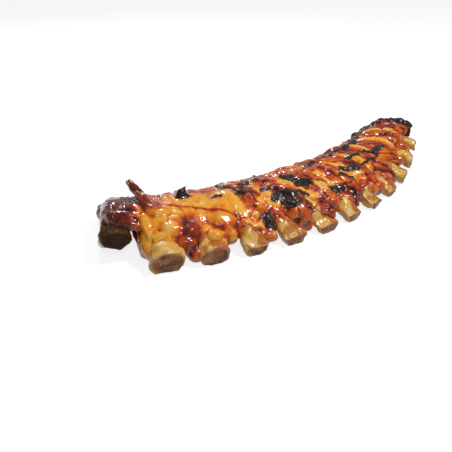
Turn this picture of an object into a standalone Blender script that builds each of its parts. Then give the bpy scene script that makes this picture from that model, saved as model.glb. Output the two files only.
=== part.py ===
"""A grilled rack of thirteen pork ribs lying bone side down, built as solids in Blender.

Metres, +Z up. The ribs fan out from one centre: their sawn front tips lie on an outer arc at the
-Y side, and their back ends on a shorter inner arc at the +Y side. A point of the rack is given by
its place along the row of ribs (0 is the first rib, 12 the last, halves lie between two ribs), its
distance inwards from the arc of the tips, and its height. Every rib is an arched bone that stands
on both its ends, the ribs get shorter towards the last one, and the meat is one slab that the
bones run through.
"""

from math import atan2, cos, copysign, pi, radians, sin

import bmesh
import bpy
from mathutils import Vector

# The fan of ribs.
RIB_COUNT = 13
LAST_RIB = RIB_COUNT - 1
MIDDLE_RIB = LAST_RIB / 2
RIB_STEP = radians(5.86)
TIP_RADIUS = 0.320
RIB_LENGTH = 0.096
LAST_RIB_LENGTH = 0.058
SHORTER_FROM_RIB = 5.5
SHORTENING = 1.5
ARCH_RISE = 0.0125

# The bones, from the first, stout rib to the last, slender one.
FIRST_HALF_WIDTH = 0.0112
LAST_HALF_WIDTH = 0.0066
FIRST_HALF_THICKNESS = 0.0080
LAST_HALF_THICKNESS = 0.0052
WAIST = 0.76
BONE_ROUNDNESS = 0.80
BONE_RINGS = 8
BONE_SIDES = 12
FIRST_TIP_INWARD = 0.024
LAST_TIP_INWARD = 0.004
CURL_FROM_RIB = 8.5
CURL_HEIGHT = 0.015
CURL_REACH = 0.060
CURL_AT_BACK = 0.2

# The meat.
FIRST_END_MARGIN = 0.38
LAST_END_MARGIN = 0.40
BACK_BONE_SHOWING = 0.004
MEAT_FRONT_AT_RIB = 0.019
MEAT_FRONT_AT_LOBE = 0.010
LONG_BONE_RIB = 9
LONG_BONE_EXTRA = 0.014
FIRST_RIB_FRONT = 0.034
TOP_OVER_BONE = 0.0120
TOP_OVER_LOBE = 0.0145
UNDER_BONE = 0.0088
UNDER_LOBE = 0.0050
MEAT_STATIONS_PER_RIB = 4
MEAT_RING_POINTS = 24
EDGE_ROUNDNESS = 0.62

# The dried strip that stands off the top near the second rib.
STRIP_ROOT = (0.92, 0.034, 0.0270)
STRIP_MIDDLE = (0.72, 0.052, 0.0370)
STRIP_END = (0.51, 0.070, 0.0412)
STRIP_RADIUS = 0.0038

GAP = 0.0003
FLAT_DEPTH = 0.0006

BONE_COLOUR = (0.55, 0.36, 0.15)
MEAT_COLOUR = (0.38, 0.09, 0.02)


def mix(start, end, share):
    return start + (end - start) * share


def power(value, exponent):
    """The value raised to the exponent, keeping its sign."""
    return copysign(abs(value) ** exponent, value)


def rib_nearness(rib):
    """1 on a rib and 0 midway between two ribs."""
    return cos(pi * rib) ** 2


def rib_length(rib):
    """From the arc of the tips to a rib's back end."""
    along = min(1.0, max(0.0, (rib - SHORTER_FROM_RIB) / (LAST_RIB - SHORTER_FROM_RIB)))
    return mix(RIB_LENGTH, LAST_RIB_LENGTH, along**SHORTENING)


def arch(rib, inward):
    """0 at both ends of a rib and 1 halfway."""
    return sin(pi * inward / rib_length(rib))


def half_width(rib, inward):
    """Half of a bone's width along the row; it narrows to a waist halfway."""
    stout = mix(FIRST_HALF_WIDTH, LAST_HALF_WIDTH, rib / LAST_RIB)
    return stout * mix(1, WAIST, arch(rib, inward))


def half_thickness(rib, inward):
    stout = mix(FIRST_HALF_THICKNESS, LAST_HALF_THICKNESS, rib / LAST_RIB)
    return stout * mix(1, WAIST, arch(rib, inward))


def curl(rib, inward):
    """How far the last ribs curl up off the surface that the rack lies on, most at their tips."""
    along = max(0.0, (rib - CURL_FROM_RIB) / (LAST_RIB - CURL_FROM_RIB))
    across = mix(CURL_AT_BACK, 1, max(0.0, 1 - inward / CURL_REACH) ** 1.5)
    return CURL_HEIGHT * along ** 1.1 * across


def bone_height(rib, inward):
    """The height of a bone's centreline, low enough that its ends are ground flat."""
    foot = half_thickness(min(max(rib, 0), LAST_RIB), 0) - FLAT_DEPTH
    rise = ARCH_RISE * rib_length(rib) / RIB_LENGTH
    return foot + rise * arch(rib, inward) + curl(rib, inward)


def place(rib, inward, height):
    """The point of the row frame for a point of the rack."""
    angle = (rib - MIDDLE_RIB) * RIB_STEP
    radius = TIP_RADIUS - inward
    return Vector((radius * sin(angle), -radius * cos(angle), height))


def tip_inward(rib):
    """How far a rib's sawn tip lies inside the arc of the tips."""
    if rib == 0:
        return FIRST_TIP_INWARD
    return LAST_TIP_INWARD if rib == LAST_RIB else 0.0


def bone_rings(rib, gap=0.0):
    """The sections of a bone, or of the channel round it where a gap is given."""
    start, end, rings = tip_inward(rib), rib_length(rib), []
    for step in range(BONE_RINGS + 1):
        inward = mix(start - gap, end + gap, step / BONE_RINGS)
        near, far = max(inward - 0.002, start), min(inward + 0.002, end)
        slope = atan2(bone_height(rib, far) - bone_height(rib, near), far - near)
        ring = []
        for side in range(BONE_SIDES):
            turn = 2 * pi * (side + 0.5) / BONE_SIDES
            across = (half_width(rib, inward) + gap) * power(cos(turn), BONE_ROUNDNESS)
            up = (half_thickness(rib, inward) + gap) * power(sin(turn), BONE_ROUNDNESS)
            row_place = rib + across / ((TIP_RADIUS - inward) * RIB_STEP)
            height = bone_height(rib, inward) + up * cos(slope)
            ring.append(place(row_place, inward - up * sin(slope), max(height, 0.0)))
        rings.append(ring)
    return rings


def meat_front(rib):
    """Where the meat starts, inwards from the tips: the bones show, and the lobes reach further."""
    at_rib = MEAT_FRONT_AT_RIB
    at_rib += LONG_BONE_EXTRA * max(0.0, 1 - abs(rib - LONG_BONE_RIB))
    at_rib += (FIRST_RIB_FRONT - MEAT_FRONT_AT_RIB) * max(0.0, min(1.0, 1 - rib))
    at_lobe = mix(FIRST_RIB_FRONT, MEAT_FRONT_AT_LOBE, min(1.0, max(0.0, rib + 0.5)))
    return mix(at_lobe, at_rib, rib_nearness(rib))


def meat_ring(rib, fullness):
    """One closed section of the meat across the rack; fullness shrinks it at the rack's ends."""
    near_rib = rib_nearness(rib)
    over = mix(TOP_OVER_LOBE, TOP_OVER_BONE, near_rib) * mix(1.0, 0.86, rib / LAST_RIB)
    under = mix(UNDER_LOBE, UNDER_BONE, near_rib) * mix(1.0, 0.72, rib / LAST_RIB)
    front, back = meat_front(rib), rib_length(rib) - BACK_BONE_SHOWING
    middle, reach = (front + back) / 2, (back - front) / 2 * mix(0.86, 1, fullness)
    ring = []
    for point in range(MEAT_RING_POINTS):
        turn = 2 * pi * point / MEAT_RING_POINTS
        inward = middle - reach * power(cos(turn), EDGE_ROUNDNESS)
        thickness = fullness * power(sin(turn), EDGE_ROUNDNESS)
        height = bone_height(rib, inward) + thickness * (over if thickness > 0 else under)
        ring.append(place(rib, inward, max(height, 0.0)))
    return ring


def meat_rings():
    """The meat's sections from the first end to the last, closer together in the rounded ends."""
    rings = []
    for share in (1.0, 0.96, 0.84, 0.6, 0.3):
        fullness = (1 - share**2) ** 0.5
        rings.append(meat_ring(-FIRST_END_MARGIN * share, max(fullness, 0.08)))
    for step in range(LAST_RIB * MEAT_STATIONS_PER_RIB):
        rings.append(meat_ring((step + 0.5) / MEAT_STATIONS_PER_RIB, 1.0))
    for share in (0.3, 0.6, 0.84, 0.96, 1.0):
        fullness = (1 - share**2) ** 0.5
        rings.append(meat_ring(LAST_RIB + LAST_END_MARGIN * share, max(fullness, 0.08)))
    return rings


def material(name, colour, roughness):
    made = bpy.data.materials.new(name)
    made.use_nodes = True
    shader = made.node_tree.nodes["Principled BSDF"]
    shader.inputs["Base Color"].default_value = (*colour, 1)
    shader.inputs["Roughness"].default_value = roughness
    shader.inputs["Metallic"].default_value = 0.0
    return made


def loft(name, rings, collection, finish):
    """One closed body through the rings, which all have the same number of points."""
    mesh = bpy.data.meshes.new(name)
    body = bmesh.new()
    rows = [[body.verts.new(point) for point in ring] for ring in rings]
    count = len(rings[0])
    for row, following in zip(rows, rows[1:]):
        for i in range(count):
            j = (i + 1) % count
            body.faces.new((row[i], row[j], following[j], following[i]))
    body.faces.new(rows[0][::-1])
    body.faces.new(rows[-1])
    bmesh.ops.remove_doubles(body, verts=body.verts, dist=1e-6)
    bmesh.ops.triangulate(body, faces=body.faces)
    bmesh.ops.recalc_face_normals(body, faces=body.faces)
    body.to_mesh(mesh)
    body.free()
    mesh.materials.append(finish)
    made = bpy.data.objects.new(name, mesh)
    collection.objects.link(made)
    return made


def shade(part, sharp_angle=radians(40)):
    part.data.shade_smooth()
    part.data.set_sharp_from_angle(angle=sharp_angle)


def dried_strip(collection, finish):
    """A tapering strip of dried meat, made as a bevelled curve and then turned into a mesh."""
    curve = bpy.data.curves.new("dried_strip", "CURVE")
    curve.dimensions = "3D"
    curve.resolution_u = 4
    curve.bevel_depth = STRIP_RADIUS
    curve.bevel_resolution = 2
    curve.use_fill_caps = True
    spline = curve.splines.new("NURBS")
    spline.points.add(2)
    for point, at, size in zip(spline.points, (STRIP_ROOT, STRIP_MIDDLE, STRIP_END), (1.25, 1, 0.7)):
        point.co = (*place(*at), 1)
        point.radius = size
    spline.use_endpoint_u = True
    spline.order_u = 3
    guide = bpy.data.objects.new("dried_strip_curve", curve)
    collection.objects.link(guide)
    bpy.context.view_layer.update()
    evaluated = guide.evaluated_get(bpy.context.evaluated_depsgraph_get())
    mesh = bpy.data.meshes.new_from_object(evaluated)
    bpy.data.objects.remove(guide)
    body = bmesh.new()
    body.from_mesh(mesh)
    bmesh.ops.remove_doubles(body, verts=body.verts, dist=1e-5)
    body.to_mesh(mesh)
    body.free()
    mesh.materials.clear()
    mesh.materials.append(finish)
    strip = bpy.data.objects.new("dried_strip", mesh)
    collection.objects.link(strip)
    return strip


def boolean(part, other, operation):
    modifier = part.modifiers.new(f"{operation.lower()}_{other.name}", "BOOLEAN")
    modifier.operation = operation
    modifier.object = other
    other.hide_render = True
    other.display_type = "WIRE"


def centre_on_origin(collection):
    """Moves all parts so that the origin is at the middle of the base of the whole rack's box."""
    bpy.context.view_layer.update()
    corners = [
        part.matrix_world @ Vector(corner)
        for part in collection.all_objects
        if not part.hide_render
        for corner in part.bound_box
    ]
    low = [min(c[axis] for c in corners) for axis in range(3)]
    high = [max(c[axis] for c in corners) for axis in range(3)]
    shift = Vector(((low[0] + high[0]) / 2, (low[1] + high[1]) / 2, low[2]))
    for part in bpy.data.objects:
        part.location -= shift


def collection_named(name):
    made = bpy.data.collections.new(name)
    bpy.context.scene.collection.children.link(made)
    return made


def build():
    for leftover in list(bpy.data.objects):
        bpy.data.objects.remove(leftover)
    rack = collection_named("rack_of_ribs")
    cutters = collection_named("cutters")
    bone = material("bone", BONE_COLOUR, 0.45)
    glazed_meat = material("glazed_meat", MEAT_COLOUR, 0.30)

    meat = loft("meat", meat_rings(), rack, glazed_meat)
    boolean(meat, dried_strip(cutters, glazed_meat), "UNION")
    for rib in range(RIB_COUNT):
        name = f"rib_{rib + 1:02d}"
        shade(loft(name, bone_rings(rib), rack, bone))
        boolean(meat, loft(f"channel_{name}", bone_rings(rib, GAP), cutters, bone), "DIFFERENCE")
    shade(meat)
    centre_on_origin(rack)


build()
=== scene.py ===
"""The looks of a grilled, glazed rack of pork ribs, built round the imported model.

Metres, +Z up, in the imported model's frame. As in the model, a point of the rack is given by its
place along the row of ribs (0 is the first rib, 12 the last), its distance inwards from the arc
of the bones' tips, and its height.
"""

from math import pi, radians
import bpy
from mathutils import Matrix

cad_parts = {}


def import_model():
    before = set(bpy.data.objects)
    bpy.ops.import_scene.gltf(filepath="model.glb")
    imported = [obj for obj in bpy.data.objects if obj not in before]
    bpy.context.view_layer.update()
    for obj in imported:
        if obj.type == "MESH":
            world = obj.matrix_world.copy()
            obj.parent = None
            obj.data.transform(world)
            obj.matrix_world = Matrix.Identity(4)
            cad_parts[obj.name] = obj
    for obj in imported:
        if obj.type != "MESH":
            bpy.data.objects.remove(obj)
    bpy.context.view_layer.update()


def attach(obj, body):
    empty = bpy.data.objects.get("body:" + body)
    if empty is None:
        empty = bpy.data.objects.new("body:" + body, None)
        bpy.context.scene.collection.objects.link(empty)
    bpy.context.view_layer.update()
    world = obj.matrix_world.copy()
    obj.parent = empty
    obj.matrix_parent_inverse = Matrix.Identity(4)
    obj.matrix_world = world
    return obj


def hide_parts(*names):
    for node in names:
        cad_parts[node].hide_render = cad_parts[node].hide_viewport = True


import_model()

from types import SimpleNamespace

import bpy
import numpy as np
from mathutils import Vector

# The fan of ribs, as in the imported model.
LAST_RIB = 12
MIDDLE_RIB = LAST_RIB / 2
RIB_STEP = radians(5.86)
TIP_RADIUS = 0.320
RIB_LENGTH = 0.096
LAST_RIB_LENGTH = 0.058
SHORTER_FROM_RIB = 5.5
ARCH_RISE = 0.0125
ARC_CENTRE = np.array((-0.0044, 0.2491, 0.0))
FIRST_HALF_WIDTH = 0.0112
LAST_HALF_WIDTH = 0.0066
FIRST_HALF_THICKNESS = 0.0080
LAST_HALF_THICKNESS = 0.0052
WAIST = 0.76
FIRST_TIP_INWARD = 0.024
LAST_TIP_INWARD = 0.004
CURL_FROM_RIB = 8.5
CURL_HEIGHT = 0.015
CURL_REACH = 0.060
CURL_AT_BACK = 0.2

# The meat.
FIRST_END_MARGIN = 0.36
LAST_END_MARGIN = 0.34
BACK_BONE_SHOWING = 0.004
FRONT_AT_RIB = 0.0145
FRONT_AT_LOBE = 0.0085
FIRST_RIB_FRONT = 0.036
LONG_BONE = 9
LONG_BONE_EXTRA = 0.016
EDGE_ROUNDNESS = 0.66
VOXEL = 0.00105
FOLD_HEIGHT = 0.0016
LUMP_HEIGHT = 0.0007
GROOVE_DEPTH = 0.0017
STRAND_DEPTH = 0.00030
CHAR_HEIGHT = 0.0007
CRUMB_RIB = 1.82
CRUMB_INWARD = 0.050

# The tone of each part of the meat, as a place on GLAZE_TONES.
BASE_TONE = 0.45
BAND_TONE = 0.80
PLATEAU_TONE = 0.75
COLLAR_TONE = 0.62
HANGING_TONE = 0.42
PALE_TONE = 0.95
RED_LINE_TONE = 0.30
LUMP_TONE = 0.25
FLAP_TONE = 0.17
STRIP_TONE = 0.34

# The bones.
BONE_SIDES = 60
BONE_ROUNDNESS = 0.90
# The first bone's stub is painted near-black as shade, for it lies in the shadow of the rolled flap; the
# last bone is charred.
FIRST_BONE_PAINTED_SHADE = 0.92
LAST_BONE_SINGED = 0.95

# How far each bone's front end is cut away in a slope.
SLANTS = (0.0, 0.0, 0.25, 1.0, 1.0, 0.9, 0.9, 0.9, 0.8, 0.45, 0.4, 0.05, 0.0)

# Burnt streaks: rib and inward place of each end, and half the width.
CHAR_STREAKS = (
    (3.05, 0.060, 3.50, 0.050, 0.0048),
    (3.78, 0.060, 4.25, 0.056, 0.0040),
    (3.28, 0.041, 3.68, 0.040, 0.0036),
    (2.55, 0.043, 2.75, 0.042, 0.0024),
    (3.95, 0.0390, 4.30, 0.0370, 0.0032),
    (5.05, 0.049, 5.35, 0.031, 0.0048),
    (5.20, 0.048, 5.10, 0.034, 0.0048),
    (4.14, 0.0275, 4.48, 0.0255, 0.0056),
    (4.80, 0.0265, 4.97, 0.0240, 0.0034),
    (4.22, 0.0150, 4.42, 0.0145, 0.0042),
    (4.66, 0.0170, 4.70, 0.0140, 0.0024),
    (3.52, 0.008, 3.56, 0.014, 0.0032),
    (5.82, 0.020, 6.17, 0.018, 0.0034),
    (6.92, 0.033, 7.33, 0.025, 0.0034),
    (6.48, 0.025, 6.85, 0.021, 0.0028),
    (7.40, 0.030, 9.15, 0.019, 0.0016),
    (7.85, 0.040, 8.25, 0.038, 0.0042),
    (8.75, 0.036, 9.50, 0.024, 0.0022),
    (6.30, 0.055, 6.80, 0.058, 0.0026),
    (7.30, 0.058, 8.60, 0.060, 0.0030),
    (8.80, 0.055, 9.60, 0.052, 0.0050),
    (9.80, 0.056, 10.9, 0.054, 0.0062),
    (11.0, 0.052, 11.6, 0.050, 0.0046),
    (11.85, 0.004, 12.25, 0.036, 0.0085),
)

# Pale, bare patches of gristle and skin: rib, inward place and radius.
PALE_PATCHES = (
    (1.22, 0.022, 0.0080),
    (3.22, 0.014, 0.0060),
    (3.80, 0.029, 0.0060),
    (4.70, 0.043, 0.0055),
    (5.62, 0.026, 0.0075),
    (5.05, 0.020, 0.0070),
    (7.20, 0.022, 0.0060),
    (10.0, 0.020, 0.0045),
)


def mix(start, end, share):
    return start + (end - start) * share


def smooth(value, low, high):
    """0 below low and 1 above high, with a soft step between them."""
    share = np.clip((value - low) / (high - low), 0, 1)
    return share * share * (3 - 2 * share)


def power(value, exponent):
    """The value raised to the exponent, keeping its sign."""
    return np.sign(value) * np.abs(value) ** exponent


def hashed(cell, seed):
    """A number from -1 to 1 for each whole-numbered cell, the same on every run."""
    mixed = cell[..., 0] * 73856093 ^ cell[..., 1] * 19349663 ^ cell[..., 2] * 83492791 ^ seed * 2654435
    mixed = (mixed ^ (mixed >> 13)) * 1274126177
    mixed = mixed ^ (mixed >> 16)
    return (mixed & 0xFFFF) / 32767.5 - 1


def noise(points, size, seed):
    """Soft lumps of about this size, from -1 to 1."""
    scaled = points / size + 1000
    cell = np.floor(scaled).astype(np.int64)
    part = scaled - cell
    part = part * part * (3 - 2 * part)
    total = 0
    for corner in range(8):
        offset = np.array([corner & 1, corner >> 1 & 1, corner >> 2])
        weight = np.prod(np.where(offset == 1, part, 1 - part), axis=-1)
        total = total + weight * hashed(cell + offset, seed)
    return total


def crumple(points, size, seed, octaves=3):
    """Lumps with smaller lumps on them."""
    return sum(noise(points, size / 2**k, seed + k) / 2**k for k in range(octaves))


def rib_length(rib):
    along = np.clip((rib - SHORTER_FROM_RIB) / (LAST_RIB - SHORTER_FROM_RIB), 0, 1)
    return mix(RIB_LENGTH, LAST_RIB_LENGTH, along**1.5)


def arch(rib, inward):
    """0 at both ends of a rib and 1 halfway."""
    return np.sin(pi * np.clip(inward / rib_length(rib), 0, 1))


def half_width(rib, inward):
    stout = mix(FIRST_HALF_WIDTH, LAST_HALF_WIDTH, np.clip(rib / LAST_RIB, 0, 1))
    return stout * mix(1, WAIST, arch(rib, inward))


def half_thickness(rib, inward):
    stout = mix(FIRST_HALF_THICKNESS, LAST_HALF_THICKNESS, np.clip(rib / LAST_RIB, 0, 1))
    return stout * mix(1, WAIST, arch(rib, inward))


def curl(rib, inward):
    """How far the last ribs curl up, most at their tips."""
    along = np.maximum(0, (rib - CURL_FROM_RIB) / (LAST_RIB - CURL_FROM_RIB))
    across = mix(CURL_AT_BACK, 1, np.clip(1 - inward / CURL_REACH, 0, 1) ** 1.5)
    return CURL_HEIGHT * along**1.1 * across


def bone_height(rib, inward):
    """The height of a bone's centreline."""
    rise = ARCH_RISE * rib_length(rib) / RIB_LENGTH
    return half_thickness(rib, 0.0) - 0.0006 + rise * arch(rib, inward) + curl(rib, inward)


def place(rib, inward, height):
    """Points of the row frame for points of the rack."""
    angle = (rib - MIDDLE_RIB) * RIB_STEP
    radius = TIP_RADIUS - inward
    flat = np.stack(np.broadcast_arrays(radius * np.sin(angle), -radius * np.cos(angle), height), -1)
    return flat + ARC_CENTRE


def rack_place(points):
    """The place along the row and the distance inwards of points of the row frame."""
    across = points[..., 0] - ARC_CENTRE[0]
    deep = ARC_CENTRE[1] - points[..., 1]
    rib = MIDDLE_RIB + np.arctan2(across, deep) / RIB_STEP
    return rib, TIP_RADIUS - np.hypot(across, deep)


def along_row(rib):
    """Metres along the row at mid depth."""
    return (rib - MIDDLE_RIB) * RIB_STEP * 0.268


def off_rib(rib):
    """How far a place lies from the nearest rib, from -0.5 to 0.5."""
    return rib - np.round(np.clip(rib, 0, LAST_RIB))


def streak_field(rib, inward, streaks):
    """1 in the middle of a burnt streak, 0 at its edge and less outside."""
    best = np.full(rib.shape, -3.0)
    across = along_row(rib)
    for rib_a, inward_a, rib_b, inward_b, width in streaks:
        start = np.array((along_row(rib_a), inward_a))
        way = np.array((along_row(rib_b), inward_b)) - start
        share = ((across - start[0]) * way[0] + (inward - start[1]) * way[1]) / way.dot(way)
        share = np.clip(share, 0, 1)
        gap = np.hypot(across - start[0] - share * way[0], inward - start[1] - share * way[1])
        best = np.maximum(best, 1 - gap / width)
    return best


def mesh_object(name, points, faces):
    mesh = bpy.data.meshes.new(name)
    mesh.from_pydata([tuple(p) for p in points], [], faces)
    mesh.validate()
    made = bpy.data.objects.new(name, mesh)
    bpy.context.scene.collection.objects.link(made)
    return made


def tube_faces(rings, around, first=0):
    """Faces of a closed tube of rings, with a face on each end."""
    faces = []
    for ring in range(rings - 1):
        for i in range(around):
            j = (i + 1) % around
            a, b = first + ring * around, first + (ring + 1) * around
            faces.append((a + i, a + j, b + j, b + i))
    faces.append(tuple(first + i for i in reversed(range(around))))
    last = first + (rings - 1) * around
    faces.append(tuple(last + i for i in range(around)))
    return faces


def coordinates(mesh):
    values = np.empty(len(mesh.vertices) * 3)
    mesh.vertices.foreach_get("co", values)
    return values.reshape(-1, 3)


def normals(mesh):
    values = np.empty(len(mesh.vertices) * 3)
    mesh.vertex_normals.foreach_get("vector", values)
    return values.reshape(-1, 3)


def set_coordinates(mesh, points):
    mesh.vertices.foreach_set("co", points.astype(np.float32).ravel())
    mesh.update()


def paint(mesh, name, values):
    """Stores a number for each point, which the materials read."""
    layer = mesh.attributes.new(name, "FLOAT", "POINT")
    layer.data.foreach_set("value", np.clip(values, 0, 1).astype(np.float32))


def evened(mesh, points, rounds):
    """The points after moving each towards the middle of its neighbours, over and over."""
    ends = np.empty(len(mesh.edges) * 2, np.int64)
    mesh.edges.foreach_get("vertices", ends)
    a, b = ends.reshape(-1, 2).T
    count = len(points)
    neighbours = np.maximum(np.bincount(a, minlength=count) + np.bincount(b, minlength=count), 1)
    for _ in range(rounds):
        near_sums = []
        for axis in range(3):
            near_a = np.bincount(a, points[b, axis], count)
            near_sums.append(near_a + np.bincount(b, points[a, axis], count))
        points = mix(points, np.stack(near_sums, -1) / neighbours[:, None], 0.8)
    return points


def shade_smooth(part):
    part.data.polygons.foreach_set("use_smooth", [True] * len(part.data.polygons))
    part.data.update()


# --- The meat ---


def front_edge(rib):
    """Where the meat starts, inwards from the tips."""
    line = np.stack((along_row(rib), np.zeros_like(rib), np.zeros_like(rib)), -1)
    near = np.exp(-((off_rib(rib) / 0.26) ** 2))
    at_rib = FRONT_AT_RIB + LONG_BONE_EXTRA * np.maximum(0, 1 - np.abs(rib - LONG_BONE) * 1.6)
    edge = mix(FRONT_AT_LOBE + 0.003 * noise(line, 0.022, 5), at_rib, near)
    first = 1 - smooth(rib, 0.35, 0.75)
    return mix(edge, FIRST_RIB_FRONT, first) + 0.0030 * noise(line, 0.008, 6)


def slab():
    """The body of the meat, as one closed mesh."""
    stations, around = 340, 190
    rib = np.linspace(-FIRST_END_MARGIN, LAST_RIB + LAST_END_MARGIN, stations)[:, None]
    turn = np.linspace(0, 2 * pi, around, endpoint=False)[None, :]
    beyond = np.clip(-rib / FIRST_END_MARGIN, 0, 1)
    beyond = beyond + np.clip((rib - LAST_RIB) / LAST_END_MARGIN, 0, 1)
    fullness = np.maximum(np.sqrt(1 - beyond**2), 0.1)
    front, back = front_edge(rib), rib_length(rib) - BACK_BONE_SHOWING
    middle, reach = (front + back) / 2, (back - front) / 2 * mix(0.86, 1, fullness)
    inward = middle - reach * power(np.cos(turn), EDGE_ROUNDNESS)
    apart = np.abs(off_rib(rib))
    ridge = np.exp(-((apart / 0.17) ** 2))
    lobe = np.exp(-(((0.5 - apart) / 0.17) ** 2))
    towards_front = 1 - smooth(inward, 0.018, 0.060)
    over = 0.0118 + 0.0012 * ridge + lobe * mix(0.0006, 0.0030, towards_front)
    plateau = smooth(rib, 0.8, 1.2) * (1 - smooth(rib, 2.6, 3.4))
    over = mix(over, 0.0132, 0.7 * plateau) * mix(1.0, 0.86, np.clip(rib / LAST_RIB, 0, 1))
    under = mix(0.0050, 0.0084, ridge) * mix(1.0, 0.72, np.clip(rib / LAST_RIB, 0, 1))
    thickness = fullness * power(np.sin(turn), EDGE_ROUNDNESS)
    height = bone_height(rib, inward) + thickness * np.where(thickness > 0, over, under)
    points = place(rib, inward, np.maximum(height, 0.0004)).reshape(-1, 3)
    return mesh_object("slab", points, tube_faces(stations, around))


def blob(rib, inward, height, along, across, up, lean=0.0):
    """An egg of the given half sizes; lean tips its along axis upwards, in degrees."""
    steps, around = 14, 20
    points = []
    for step in range(steps):
        tilt = pi * (step + 0.5) / steps
        for i in range(around):
            turn = 2 * pi * i / around
            points.append((np.sin(tilt) * np.cos(turn), np.sin(tilt) * np.sin(turn), np.cos(tilt)))
    points = np.array(points) * (along, across, up)
    tip = radians(lean)
    x = points[:, 0] * np.cos(tip) - points[:, 2] * np.sin(tip)
    z = points[:, 0] * np.sin(tip) + points[:, 2] * np.cos(tip)
    turned = (rib - MIDDLE_RIB) * RIB_STEP
    local = np.stack((x * np.cos(turned) - points[:, 1] * np.sin(turned),
                      x * np.sin(turned) + points[:, 1] * np.cos(turned), z), -1)
    centre = place(np.array(rib), np.array(inward), np.array(height))
    return mesh_object("blob", local + centre, tube_faces(steps, around))


def strand(stations, step=0.0016):
    """A chain of round blobs through the stations (rib, inward, height, radius)."""
    made = []
    stations = np.array(stations, float)
    ends = place(stations[:, 0], stations[:, 1], stations[:, 2])
    for k in range(len(stations) - 1):
        count = max(2, int(np.linalg.norm(ends[k + 1] - ends[k]) / step))
        for share in np.linspace(0, 1, count):
            rib, inward, height, radius = mix(stations[k], stations[k + 1], share)
            made.append(blob(rib, inward, height, radius, radius, radius))
    return made


def collars():
    """Meat that grips the bones where they come out."""
    made = []
    for rib in range(1, LAST_RIB + 1):
        start = float(front_edge(np.array([float(rib)]))[0]) + 0.0015
        width, thick = half_width(rib, start), half_thickness(rib, start)
        made.append(blob(rib, start, bone_height(rib, start) + 0.0010, width * 1.13, 0.0062, thick * 1.28))
    return made


def hanging_tissue(rng):
    """Shreds of meat that hang over the bones' right-hand sides."""
    made = []
    for rib in range(2, LAST_RIB):
        if rib != LONG_BONE:
            slim = mix(1.1, 0.65, rib / LAST_RIB)
            inward = rng.uniform(0.0115, 0.0150)
            height = bone_height(rib, inward) + half_thickness(rib, inward) * 0.8
            low = height - 0.005 * slim
            made.append(blob(rib + 0.13, inward, height, 0.0078 * slim, 0.0070, 0.0040 * slim))
            made.append(blob(rib + 0.27, inward - 0.003, low, 0.0044 * slim, 0.0072, 0.0056 * slim))
    return made


def front_lobes(rng):
    """Lobes of meat between the bones."""
    made = []
    for gap in range(1, LAST_RIB):
        middle = gap + 0.5
        size = mix(0.0075, 0.0055, gap / LAST_RIB)
        for _ in range(3):
            rib = middle + rng.uniform(-0.12, 0.12)
            inward = rng.uniform(0.009, 0.026)
            height = bone_height(middle, inward) + rng.uniform(-0.003, 0.007)
            along, up = size * rng.uniform(0.75, 1.1), size * rng.uniform(0.7, 1)
            made.append(blob(rib, inward, height, along, size * 1.3, up))
    return made


def single_lumps():
    """The lumps that stand out by themselves, from the middle of the rack to its left-hand end."""
    # The big smooth lobe that hangs over the fifth bone.
    made = [blob(4.42, 0.0125, 0.0195, 0.0125, 0.0085, 0.0060, 8.0)]
    # The crusty lump and its hanging lobe between the second and third bones.
    made.append(blob(1.62, 0.019, 0.0175, 0.0088, 0.0095, 0.0078))
    made.append(blob(1.50, 0.014, 0.0120, 0.0068, 0.0080, 0.0066))
    made.append(blob(1.66, 0.009, 0.0068, 0.0058, 0.0070, 0.0056))
    # Gristle on top of the second bone.
    made.append(blob(1.22, 0.021, 0.0215, 0.0086, 0.0080, 0.0058))
    return made


def fat_sheet():
    """The sheet of fat at the second bone's side."""
    made = strand([(0.62, 0.050, 0.0235, 0.0062), (0.66, 0.036, 0.0225, 0.0068),
                   (0.70, 0.022, 0.0155, 0.0064), (0.75, 0.012, 0.0100, 0.0058),
                   (0.82, 0.006, 0.0075, 0.0048)])
    made += strand([(0.60, 0.034, 0.0150, 0.0056), (0.68, 0.018, 0.0085, 0.0052)])
    made += strand([(0.95, 0.030, 0.0225, 0.0060), (0.88, 0.018, 0.0170, 0.0056),
                    (0.86, 0.009, 0.0110, 0.0044)])
    return made


def rolled_flap():
    """The rolled flap over the first bone, and what hangs from it at the rack's end."""
    made = strand([(-0.14, 0.062, 0.0190, 0.0060), (-0.12, 0.048, 0.0235, 0.0066),
                   (0.02, 0.038, 0.0262, 0.0064), (0.34, 0.035, 0.0268, 0.0058),
                   (0.56, 0.034, 0.0255, 0.0056)])
    made += strand([(-0.10, 0.042, 0.0240, 0.0046), (0.18, 0.030, 0.0262, 0.0036),
                    (0.44, 0.027, 0.0245, 0.0040)])
    made += strand([(-0.26, 0.046, 0.0060, 0.0050), (-0.24, 0.034, 0.0130, 0.0046),
                    (-0.14, 0.031, 0.0200, 0.0044)])
    return made


def dried_strip():
    made = strand([(0.94, 0.036, 0.0285, 0.0060), (0.87, 0.042, 0.0322, 0.0042),
                   (0.74, 0.053, 0.0362, 0.0034), (0.62, 0.062, 0.0388, 0.0030),
                   (0.51, 0.070, 0.0405, 0.0025)], 0.0009)
    made.append(blob(1.02, 0.034, 0.0300, 0.0060, 0.0050, 0.0040))
    return made


def burnt_crumb():
    """A curled crumb of burnt skin with a thin stem."""
    made = strand([(1.74, 0.050, 0.0325, 0.0032), (1.86, 0.050, 0.0330, 0.0026)])
    made.append(blob(1.78, 0.050, 0.0355, 0.0026, 0.0024, 0.0028))
    made += strand([(1.84, 0.050, 0.0355, 0.0010), (1.90, 0.051, 0.0385, 0.0008),
                    (1.93, 0.050, 0.0400, 0.0008)], 0.0006)
    return made


def burnt_last_edge():
    """The burnt edge of the meat on the last rib."""
    return strand([(12.10, 0.004, 0.0235, 0.0044), (12.14, 0.012, 0.0250, 0.0054),
                   (12.16, 0.022, 0.0245, 0.0056), (12.10, 0.036, 0.0215, 0.0056)])


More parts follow.
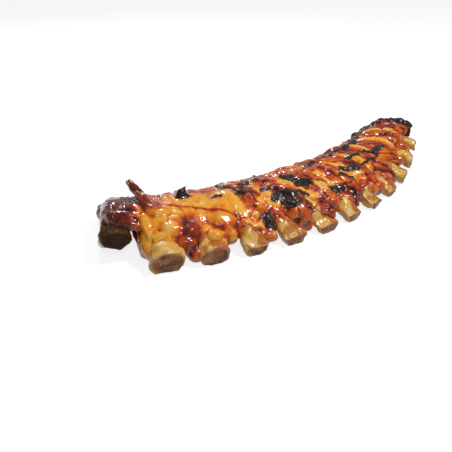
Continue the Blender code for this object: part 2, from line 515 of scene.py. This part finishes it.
def lumps():
    """All that stands out of the slab."""
    rng = np.random.default_rng(11)
    made = collars() + hanging_tissue(rng) + front_lobes(rng) + single_lumps()
    return made + fat_sheet() + rolled_flap() + dried_strip() + burnt_crumb() + burnt_last_edge()


def join(parts):
    with bpy.context.temp_override(active_object=parts[0], selected_editable_objects=parts):
        bpy.ops.object.join()
    return parts[0]


def fused(rough, name):
    """One skin round the overlapping bodies, smoothed a little."""
    remesh = rough.modifiers.new("fuse", "REMESH")
    remesh.mode = "VOXEL"
    remesh.voxel_size = VOXEL
    relax = rough.modifiers.new("relax", "SMOOTH")
    relax.factor = 0.5
    relax.iterations = 4
    bpy.context.view_layer.update()
    evaluated = rough.evaluated_get(bpy.context.evaluated_depsgraph_get())
    mesh = bpy.data.meshes.new_from_object(evaluated)
    bpy.data.objects.remove(rough)
    mesh.name = name
    made = bpy.data.objects.new(name, mesh)
    bpy.context.scene.collection.objects.link(made)
    return made


def meat_regions(points, rib, inward):
    """How far each point belongs to each part of the meat, from 0 to 1."""
    height, off = points[:, 2], off_rib(rib)
    ridge = np.exp(-((off / 0.20) ** 2))
    plateau = smooth(rib, 0.75, 1.1) * (1 - smooth(rib, 2.7, 3.4)) * (1 - smooth(inward, 0.048, 0.062))
    line_at = 0.042 - 0.0133 * (rib - 1.20)
    lobes = np.exp(-(((0.5 - np.abs(off)) / 0.19) ** 2)) * (1 - smooth(inward, 0.030, 0.060))
    beside_first = smooth(rib, 0.42, 0.58) * (1 - smooth(rib, 1.15, 1.35))
    return SimpleNamespace(
        ridge=ridge,
        plateau=plateau,
        sheet=beside_first * (1 - smooth(inward, 0.040, 0.056)),
        collar=ridge * (1 - smooth(inward, 0.018, 0.026)) * smooth(rib, 0.6, 0.8),
        hanging=smooth(inward, 0.0, 0.004) * (1 - smooth(inward, 0.014, 0.022)) * smooth(rib, 2.0, 2.5),
        lump=np.exp(-(((rib - 1.60) / 0.27) ** 4 + ((inward - 0.014) / 0.012) ** 4)),
        red_line=np.exp(-(((inward - line_at) / 0.0013) ** 2)) * plateau,
        lobes=lobes,
        flap=1 - smooth(rib, 0.30, 0.58),
        strip=smooth(height, 0.0318, 0.0340) * (1 - smooth(rib, 1.15, 1.35)) * smooth(rib, 0.30, 0.36),
    )


def grooves_between_fibres(fibres):
    folds = 1 - np.abs(noise(fibres, 0.0064, 21)) * 2.6
    return np.clip(folds, 0, 1) ** 3


def relief(points, fibres, inward, upward, region):
    """How far the folds, fibres and lumps lift each point."""
    strands = np.clip(1 - np.abs(noise(fibres, 0.0028, 25)) * 2, 0, 1) ** 2
    strands = strands * (1 - smooth(inward, 0.055, 0.075))
    rough = 1 - 0.65 * np.maximum(region.plateau, region.sheet)
    lift = FOLD_HEIGHT * crumple(fibres * (1, 1.8, 1), 0.012, 31) * mix(0.5, 1, rough)
    lift += LUMP_HEIGHT * crumple(points, 0.0050, 35, 2) * rough
    cuts = GROOVE_DEPTH * grooves_between_fibres(fibres) + STRAND_DEPTH * strands
    return lift - cuts * rough * upward


def burnt_places(points, facing, rib, inward, ragged):
    """0 where the glaze is whole and 1 where it is burnt."""
    across, height = along_row(rib), points[:, 2]
    streaks = streak_field(rib, inward, CHAR_STREAKS) + 0.50 * ragged
    at_back = smooth(inward, 0.070, 0.085) * smooth(noise(points, 0.016, 45), 0.10, 0.5)
    burnt = smooth(np.maximum(streaks, (at_back - 0.5) * 2 + ragged), 0.10, 0.38)
    last_end = smooth(rib + 0.25 * crumple(points, 0.008, 47), 11.75, 12.1)
    crumb = ((across - along_row(CRUMB_RIB)) / 0.0048) ** 2 + ((inward - CRUMB_INWARD) / 0.0045) ** 2
    crumb = np.exp(-crumb * 0.7) * smooth(height, 0.0310, 0.0325)
    return np.maximum.reduce((burnt, last_end, crumb)) * smooth(facing[:, 2], -0.5, 0.1)


def fat_bands(points, fibres, rib, inward):
    """1 on the golden bands of fat that run along the bones."""
    wander = off_rib(rib) + 0.07 * noise(fibres * (1, 2, 1), 0.020, 60)
    width = 0.125 + 0.05 * noise(points, 0.016, 62)
    ragged_end = inward + 0.010 * noise(points, 0.020, 63)
    reach = smooth(inward, 0.008, 0.018) * (1 - smooth(ragged_end, 0.046, 0.060))
    return (1 - smooth(np.abs(wander), width * 0.72, width * 1.15)) * reach


def pale_places(rib, inward, ragged):
    pale = np.zeros(len(rib))
    for rib_at, inward_at, radius in PALE_PATCHES:
        gap = np.hypot(along_row(rib) - along_row(rib_at), inward - inward_at)
        pale = np.maximum(pale, smooth(1.15 - gap / radius + 0.35 * ragged, 0.0, 0.5))
    return pale


def glaze_tone(points, fibres, rib, inward, upward, ragged, region):
    """The place of each point's colour on GLAZE_TONES."""
    golden = np.maximum(region.plateau, region.sheet * 0.9)
    tone = BASE_TONE + 0.14 * crumple(fibres * (1, 1.5, 1), 0.010, 64) + 0.06 * noise(fibres, 0.004, 67)
    tone = tone - 0.08 * region.lobes - 0.10 * grooves_between_fibres(fibres) * upward
    tone = mix(tone, BAND_TONE, fat_bands(points, fibres, rib, inward))
    tone = mix(tone, PLATEAU_TONE + 0.11 * crumple(fibres, 0.009, 65), golden)
    tone = mix(tone, COLLAR_TONE, 0.45 * region.collar * (1 - region.hanging))
    tone = mix(tone, HANGING_TONE + 0.12 * ragged, 0.75 * region.hanging)
    tone = mix(tone, PALE_TONE, 0.75 * pale_places(rib, inward, ragged))
    tone = mix(tone, RED_LINE_TONE, region.red_line)
    tone = mix(tone, LUMP_TONE + 0.12 * ragged, region.lump)
    tone = mix(tone, FLAP_TONE + 0.10 * crumple(points, 0.006, 66), region.flap)
    return mix(tone, STRIP_TONE + 0.06 * ragged, region.strip)


def sculpt_meat(meat):
    """Adds folds, fibres, lumps and char to the fused meat, and paints what is where."""
    mesh = meat.data
    points, facing = coordinates(mesh), normals(mesh)
    rib, inward = rack_place(points)
    upward = smooth(facing[:, 2], -0.35, 0.25)
    fibres = np.stack((along_row(rib), inward * 0.30, points[:, 2]), -1)
    region = meat_regions(points, rib, inward)
    ragged = crumple(points, 0.0050, 41)
    burnt = np.clip(burnt_places(points, facing, rib, inward, ragged), 0, 1)

    blisters = 0.0008 * noise(points, 0.0026, 51) + 0.0004 * noise(points, 0.0013, 52)
    lift = relief(points, fibres, inward, upward, region) + burnt * (CHAR_HEIGHT + blisters)
    lift = lift * (1 - 0.6 * smooth(-rib, -0.55, -0.30))
    moved = points + facing * lift[:, None]

    hollow = ((evened(mesh, moved, 10) - moved) * facing).sum(-1)
    sunk, proud = smooth(hollow, 0.00002, 0.00035), smooth(-hollow, 0.00005, 0.00040)
    darker = smooth(noise(points, 0.012, 68), 0.05, 0.55)
    tone = glaze_tone(points, fibres, rib, inward, upward, ragged, region)
    tone = tone - 0.26 * sunk + (0.10 * proud - 0.16 * darker) * (1 - region.flap)

    set_coordinates(mesh, moved)
    paint(mesh, "tone", tone)
    paint(mesh, "burnt", burnt)
    paint(mesh, "under", 1 - smooth(facing[:, 2], -0.65, -0.15))
    paint(mesh, "ridge", region.ridge)


# --- The bones ---


def bone_start(index):
    """Where a bone's sawn tip lies, inwards from the arc of the tips."""
    if index == 0:
        return FIRST_TIP_INWARD
    return LAST_TIP_INWARD if index == LAST_RIB else 0.0


def bone_sections(index):
    """A bone's sections along it: inward place, sideways and upward offsets, and slope."""
    start, end = bone_start(index), float(rib_length(index))
    fine_front = np.linspace(start, start + 0.026, 36)
    coarse = np.linspace(start + 0.026, end - 0.012, 14)[1:-1]
    fine_back = np.linspace(end - 0.012, end, 17)
    inward = np.concatenate((fine_front, coarse, fine_back))[:, None]
    turn = np.linspace(0, 2 * pi, BONE_SIDES, endpoint=False)[None, :]
    slope = np.arctan2(bone_height(index, inward + 0.001) - bone_height(index, inward - 0.001), 0.002)
    flare = 1 + 0.13 * np.exp(-(((inward - start) / 0.013) ** 2))
    flare = flare + 0.05 * np.exp(-(((end - inward) / 0.005) ** 2))
    from_end = np.minimum(inward - start, end - inward)
    flare = flare * mix(0.93, 1, smooth(from_end, 0, 0.0016))
    across = half_width(index, inward) * power(np.cos(turn), BONE_ROUNDNESS) * flare
    up = half_thickness(index, inward) * power(np.sin(turn), BONE_ROUNDNESS) * flare
    # The top of most bones' front ends is cut away in a slope down to the tip.
    slant = SLANTS[index]
    worn = 1 - slant * (1 - smooth(inward - start, -0.002, 0.015))
    across = across * mix(1, 0.86 + 0.14 * smooth(inward - start, 0, 0.010), slant)
    up = np.where(up > 0, up * worn, up)
    return [(inward[row, 0], across[row], up[row], slope[row, 0]) for row in range(len(inward))]


def with_cut_faces(sections):
    """The sections with ever smaller ones over both ends, and how deep each lies in a cut face."""
    caps = [share / 10 for share in range(9, 0, -1)]
    first, last = sections[0], sections[-1]
    front = [(first[0], first[1] * share, first[2] * share, first[3]) for share in reversed(caps)]
    back = [(last[0], last[1] * share, last[2] * share, last[3]) for share in caps]
    rows = front + sections + back
    depths = []
    for number in range(len(rows)):
        inner = min(number, len(rows) - 1 - number)
        depths.append(smooth((len(caps) - inner) / len(caps), 0.02, 0.16))
    return rows, np.repeat(depths, BONE_SIDES)


def weathered(points, facing, offset, cut, pits):
    """The points after the bone's lumps, and the marrow's pits, have moved them."""
    lift = 0.0016 * crumple(offset, 0.009, 71, 2) + 0.00040 * crumple(offset, 0.0030, 73, 2)
    lift += 0.0005 * noise(offset * (1, 0.35, 1), 0.0040, 74)
    in_cut = cut * (-0.0006 - 0.0007 * pits + 0.0003 * noise(offset, 0.0011, 77))
    moved = points + facing * np.where(cut > 0.01, in_cut, lift)[:, None]
    moved[:, 2] = np.maximum(moved[:, 2], 0.0001)
    return moved


def browning_and_painted_shade(points, offset, index, top):
    """How brown each point of a bone is, from 0 to 1: its right side, and near the meat, where the brown
    is painted shade.
    """
    rib, inward = rack_place(points)
    side = (rib - index) * RIB_STEP * (TIP_RADIUS - inward) / half_width(index, inward)
    brown = smooth(side + 0.45 * crumple(offset, 0.007, 79, 2), -0.25, 0.30)
    brown = brown * smooth(float(index), 0.5, 2.5)
    # Painted shade: the bone turns brown towards the meat, as shade under the meat's edge.
    near_meat = inward - bone_start(index) + 0.004 * crumple(offset, 0.006, 80, 2)
    stains = smooth(crumple(offset, 0.010, 78, 2) + 0.3 * top, 0.2, 0.7)
    return np.maximum.reduce((brown, 0.9 * smooth(near_meat, 0.007, 0.014), 0.55 * stains))


def bone(index):
    """One rib bone with its two sawn ends, as a closed mesh."""
    rows, cut = with_cut_faces(bone_sections(index))
    points = []
    for inward, wide, high, slope in rows:
        rib = index + wide / ((TIP_RADIUS - inward) * RIB_STEP)
        height = bone_height(index, inward) + high * np.cos(slope)
        points.append(place(rib, inward - high * np.sin(slope), height))
    points = np.concatenate(points)
    made = mesh_object(f"bone_{index + 1:02d}", points, tube_faces(len(rows), BONE_SIDES))
    facing = normals(made.data)
    offset = points + index * 0.5
    pits = smooth(noise(offset, 0.0021, 75), 0.15, 0.55)
    set_coordinates(made.data, weathered(points, facing, offset, cut, pits))
    # How far each point faces up; the bone material paints such places lighter, as painted light.
    top = smooth(facing[:, 2], -0.1, 0.6)
    # The last bone is charred; the first bone's darkness is painted shade under the flap.
    char_and_painted_shade = LAST_BONE_SINGED if index == LAST_RIB else FIRST_BONE_PAINTED_SHADE if index == 0 else 0.0
    paint(made.data, "cut", cut)
    paint(made.data, "pits", pits * cut)
    paint(made.data, "top", top)
    paint(made.data, "brown", browning_and_painted_shade(points, offset, index, top))
    paint(made.data, "char_and_painted_shade", np.full(len(points), char_and_painted_shade))
    shade_smooth(made)
    return made


# --- Materials ---


def add(tree, kind, inputs=None, **settings):
    """Adds a node; an input is a value or another node's output."""
    made = tree.nodes.new(kind)
    for key, value in settings.items():
        setattr(made, key, value)
    for key, value in (inputs or {}).items():
        if isinstance(value, bpy.types.NodeSocket):
            tree.links.new(value, made.inputs[key])
        else:
            made.inputs[key].default_value = value
    return made


def attribute(tree, name):
    return add(tree, "ShaderNodeAttribute", attribute_name=name).outputs["Fac"]


def speckle(tree, scale, detail=3.0, distortion=0.0):
    where = add(tree, "ShaderNodeTexCoord").outputs["Object"]
    inputs = {"Vector": where, "Scale": scale, "Detail": detail, "Distortion": distortion}
    return add(tree, "ShaderNodeTexNoise", inputs).outputs["Fac"]


def compute(tree, operation, *values):
    return add(tree, "ShaderNodeMath", dict(enumerate(values)), operation=operation).outputs[0]


def spread(tree, value, low, high):
    """A value from 0 to 1 spread over another range."""
    inputs = {"Value": value, "To Min": low, "To Max": high}
    return add(tree, "ShaderNodeMapRange", inputs).outputs["Result"]


def step(tree, value, low, high):
    inputs = {"Value": value, "From Min": low, "From Max": high}
    return add(tree, "ShaderNodeMapRange", inputs, interpolation_type="SMOOTHSTEP").outputs["Result"]


def blend(tree, share, a, b):
    """Mixes two colours."""
    made = add(tree, "ShaderNodeMix", {"Factor": share}, data_type="RGBA")
    for socket, value in ((made.inputs[6], a), (made.inputs[7], b)):
        if isinstance(value, bpy.types.NodeSocket):
            tree.links.new(value, socket)
        else:
            socket.default_value = (*value, 1)
    return made.outputs[2]


def new_material(name):
    made = bpy.data.materials.new(name)
    made.use_nodes = True
    return made, made.node_tree, made.node_tree.nodes["Principled BSDF"]


# The glaze's colours from the darkest creases to bare fat.
GLAZE_TONES = (
    (0.00, (0.035, 0.005, 0.004)),
    (0.18, (0.130, 0.014, 0.006)),
    (0.36, (0.400, 0.036, 0.005)),
    (0.52, (0.640, 0.115, 0.006)),
    (0.66, (0.780, 0.260, 0.010)),
    (0.82, (0.840, 0.400, 0.036)),
    (1.00, (0.840, 0.500, 0.170)),
)
UNDER = (0.40, 0.10, 0.035)
UNDER_PALE = (0.85, 0.58, 0.30)
CHAR = (0.016, 0.005, 0.002)
CHAR_EDGE = (0.09, 0.018, 0.006)


def tones(tree, value, stops):
    """A colour for each value, through the stops."""
    made = add(tree, "ShaderNodeValToRGB", {"Fac": value})
    ramp = made.color_ramp
    while len(ramp.elements) < len(stops):
        ramp.elements.new(0.5)
    for element, (position, colour) in zip(ramp.elements, stops):
        element.position = position
        element.color = (*colour, 1)
    return made.outputs["Color"]


def glazed_meat():
    made, tree, shader = new_material("glazed_meat")
    middle, fine = speckle(tree, 200, 3, 0.5), speckle(tree, 750, 2)
    wobble = compute(tree, "MULTIPLY_ADD", middle, 0.6, compute(tree, "MULTIPLY", fine, 0.3))
    shade = compute(tree, "MULTIPLY", compute(tree, "SUBTRACT", wobble, 0.45), 0.75)
    colour = tones(tree, compute(tree, "ADD", attribute(tree, "tone"), shade), GLAZE_TONES)
    is_burnt = step(tree, compute(tree, "ADD", attribute(tree, "burnt"), wobble), 0.78, 1.02)
    rim = step(tree, compute(tree, "ADD", attribute(tree, "burnt"), wobble), 0.62, 0.86)
    below = blend(tree, compute(tree, "MULTIPLY", attribute(tree, "ridge"), middle), UNDER, UNDER_PALE)
    colour = blend(tree, attribute(tree, "under"), colour, below)
    colour = blend(tree, rim, colour, CHAR_EDGE)
    colour = blend(tree, is_burnt, colour, CHAR)
    tree.links.new(colour, shader.inputs["Base Color"])
    gloss = spread(tree, middle, 0.16, 0.36)
    rough = add(tree, "ShaderNodeMix", {"Factor": is_burnt, "A": gloss, "B": 0.42}).outputs["Result"]
    tree.links.new(rough, shader.inputs["Roughness"])
    shader.inputs["Specular IOR Level"].default_value = 0.30
    shader.inputs["Coat Weight"].default_value = 0.40
    shader.inputs["Coat Roughness"].default_value = 0.06
    shader.inputs["Subsurface Weight"].default_value = 0.10
    shader.inputs["Subsurface Scale"].default_value = 0.002
    shader.inputs["Subsurface Radius"].default_value = (1.0, 0.35, 0.15)
    bumps = compute(tree, "ADD", middle, compute(tree, "MULTIPLY", fine, 0.4))
    bump = add(tree, "ShaderNodeBump", {"Strength": 0.35, "Distance": 0.0006, "Height": bumps})
    tree.links.new(bump.outputs["Normal"], shader.inputs["Normal"])
    return made


# The bones' tops are painted lighter and their sides darker, as light from above falls on them: painted
# light and shade.
BONE_TOP_PAINTED_LIGHT = (0.84, 0.44, 0.130)
BONE_SIDE_PAINTED_SHADE = (0.72, 0.40, 0.070)
BONE_BROWN_AND_SHADE = (0.44, 0.105, 0.012)
BONE_PALE = (0.78, 0.56, 0.26)
BONE_STAIN = (0.22, 0.055, 0.010)
CUT_RIM = (0.52, 0.21, 0.050)
MARROW = (0.36, 0.110, 0.022)
MARROW_DARK = (0.090, 0.024, 0.005)
MARROW_PINK = (0.50, 0.20, 0.080)
# Colour of the charred last bone, also used as painted shade on the first bone's stub.
BONE_CHAR_AND_PAINTED_SHADE = (0.022, 0.004, 0.001)


def bone_material(name, specular, coat):
    made, tree, shader = new_material(name)
    middle, fine = speckle(tree, 210, 3, 0.3), speckle(tree, 800, 3)
    # Painted light and shade: a lighter colour on the upward faces, a darker one on the sides.
    surface = blend(tree, attribute(tree, "top"), BONE_SIDE_PAINTED_SHADE, BONE_TOP_PAINTED_LIGHT)
    surface = blend(tree, step(tree, speckle(tree, 120, 2, 0.6), 0.48, 0.66), surface, BONE_PALE)
    stain = step(tree, speckle(tree, 150, 4, 1.0), 0.52, 0.70)
    surface = blend(tree, compute(tree, "MULTIPLY", stain, 0.7), surface, BONE_STAIN)
    # Brown of the bone's right side and stains, and painted shade near the meat.
    brown = compute(tree, "MULTIPLY_ADD", middle, 0.8, attribute(tree, "brown"))
    brown = step(tree, brown, 0.55, 1.2)
    surface = blend(tree, compute(tree, "MULTIPLY", brown, 0.85), surface, BONE_BROWN_AND_SHADE)
    marrow = blend(tree, step(tree, middle, 0.36, 0.60), MARROW_DARK, MARROW)
    marrow = blend(tree, compute(tree, "MULTIPLY", attribute(tree, "pits"), 0.6), marrow, MARROW_DARK)
    marrow = blend(tree, step(tree, speckle(tree, 95, 2), 0.50, 0.62), marrow, MARROW_PINK)
    inside = compute(tree, "MULTIPLY_ADD", middle, 0.5, attribute(tree, "cut"))
    inside = step(tree, inside, 0.70, 1.15)
    colour = blend(tree, inside, blend(tree, attribute(tree, "cut"), surface, CUT_RIM), marrow)
    # Charred colour on the last bone, and painted shade on the first bone's stub.
    colour = blend(tree, attribute(tree, "char_and_painted_shade"), colour, BONE_CHAR_AND_PAINTED_SHADE)
    tree.links.new(colour, shader.inputs["Base Color"])
    gloss = spread(tree, middle, 0.22, 0.45)
    tree.links.new(gloss, shader.inputs["Roughness"])
    shader.inputs["Specular IOR Level"].default_value = specular
    shader.inputs["Coat Weight"].default_value = coat
    shader.inputs["Coat Roughness"].default_value = 0.10
    shader.inputs["Subsurface Weight"].default_value = 0.10
    shader.inputs["Subsurface Scale"].default_value = 0.002
    bump = add(tree, "ShaderNodeBump", {"Strength": 0.3, "Distance": 0.0005, "Height": fine})
    tree.links.new(bump.outputs["Normal"], shader.inputs["Normal"])
    return made


# --- The rack ---

body = slab()
meat = fused(join([body] + lumps()), "glazed_rack_meat")
sculpt_meat(meat)
shade_smooth(meat)
meat.data.materials.clear()
meat.data.materials.append(glazed_meat())
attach(meat, "root")
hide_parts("meat")

bare_bone = bone_material("bone", 0.25, 0.2)
# Dull material for the charred last bone and the first bone's stub, whose dark colour is painted shade.
charred_and_shaded_bone = bone_material("charred_and_shaded_bone", 0.08, 0.04)
for index in range(LAST_RIB + 1):
    piece = bone(index)
    dark_end_bone = index in (0, LAST_RIB)
    piece.data.materials.append(charred_and_shaded_bone if dark_end_bone else bare_bone)
    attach(piece, "root")
    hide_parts(f"rib_{index + 1:02d}")

# --- The floor, light and camera ---


FLOOR_SHADE = 0.36
FLOOR_GLOW = 0.82
WORLD_LIGHT = 0.22


def background_rays(tree):
    """1 for the rays that see the background: the camera's, reflected and refracted ones."""
    path = add(tree, "ShaderNodeLightPath")
    seen = compute(tree, "MAXIMUM", path.outputs["Is Camera Ray"], path.outputs["Is Glossy Ray"])
    return compute(tree, "MAXIMUM", seen, path.outputs["Is Transmission Ray"])


def floor():
    points = [(-6, -6, 0), (6, -6, 0), (6, 6, 0), (-6, 6, 0)]
    made = mesh_object("floor", np.array(points) - (0, 0, 0.0001), [(0, 1, 2, 3)])
    look, tree, shader = new_material("floor")
    shader.inputs["Base Color"].default_value = (FLOOR_SHADE, FLOOR_SHADE, FLOOR_SHADE, 1)
    shader.inputs["Roughness"].default_value = 0.9
    shader.inputs["Specular IOR Level"].default_value = 0.0
    shader.inputs["Emission Color"].default_value = (1, 1, 1, 1)
    glow = compute(tree, "MULTIPLY", background_rays(tree), FLOOR_GLOW)
    tree.links.new(glow, shader.inputs["Emission Strength"])
    made.data.materials.append(look)


def world():
    made = bpy.data.worlds.new("studio")
    bpy.context.scene.world = made
    made.use_nodes = True
    tree = made.node_tree
    back = tree.nodes["Background"]
    back.inputs["Color"].default_value = (1, 1, 1, 1)
    path = add(tree, "ShaderNodeLightPath")
    seen = compute(tree, "MAXIMUM", path.outputs["Is Camera Ray"], path.outputs["Is Transmission Ray"])
    tree.links.new(spread(tree, seen, WORLD_LIGHT, 1.0), back.inputs["Strength"])


def lamp(name, at, size, power_watts, towards=(0.0, 0.0, 0.02)):
    light = bpy.data.lights.new(name, "AREA")
    light.shape = "DISK"
    light.size = size
    light.energy = power_watts
    made = bpy.data.objects.new(name, light)
    bpy.context.scene.collection.objects.link(made)
    made.location = at
    made.rotation_euler = (Vector(towards) - Vector(at)).to_track_quat("-Z", "Y").to_euler()


def camera():
    data = bpy.data.cameras.new("camera")
    data.lens = 55.9
    data.sensor_width = 36
    data.clip_start = 0.01
    made = bpy.data.objects.new("camera", data)
    bpy.context.scene.collection.objects.link(made)
    made.location = (-0.4319, -0.3409, 0.2215)
    made.rotation_euler = (radians(90 - 24.5), 0, radians(-46.34))
    bpy.context.scene.camera = made


floor()
world()
lamp("key", (0.20, -0.30, 0.85), 0.13, 5.4)
lamp("side", (-0.60, -0.60, 0.55), 0.10, 1.6)
lamp("back", (0.30, 0.70, 0.60), 0.12, 2.4)
camera()
bpy.context.scene.view_settings.view_transform = "Standard"
